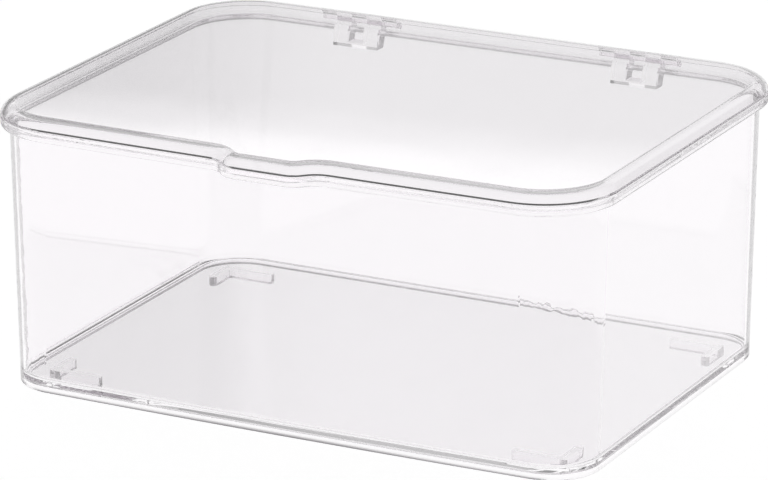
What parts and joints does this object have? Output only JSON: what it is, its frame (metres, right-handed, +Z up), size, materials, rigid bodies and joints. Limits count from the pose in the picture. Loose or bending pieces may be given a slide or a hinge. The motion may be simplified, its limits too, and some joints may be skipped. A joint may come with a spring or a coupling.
{
  "type": "hinged storage box",
  "caption": "Clear plastic storage box with rounded corners, rolled rim, front pull tab and a flat lid hinged along the back.",
  "frame": {"origin": "on the table, under the middle of the closed box, pull tab and hinges included", "axes": "+X along the front to the user's right, -Y towards the user and the pull tab, +Z up"},
  "size_m": [0.33, 0.2688, 0.1466],
  "materials": {
    "clear_plastic": "clear, polished, glossy"
  },
  "bodies": {
    "tub": {"tub": "clear_plastic", "hinge_pin_left": "clear_plastic", "hinge_pin_right": "clear_plastic"},
    "lid": {"lid": "clear_plastic"}
  },
  "joints": [
    {"name": "lid_hinge", "type": "hinge", "parent": "tub", "child": "lid", "pos_m": [0, 0.13115, 0.1381], "axis": [-1, 0, 0], "range_deg": [0, 110]}
  ]
}
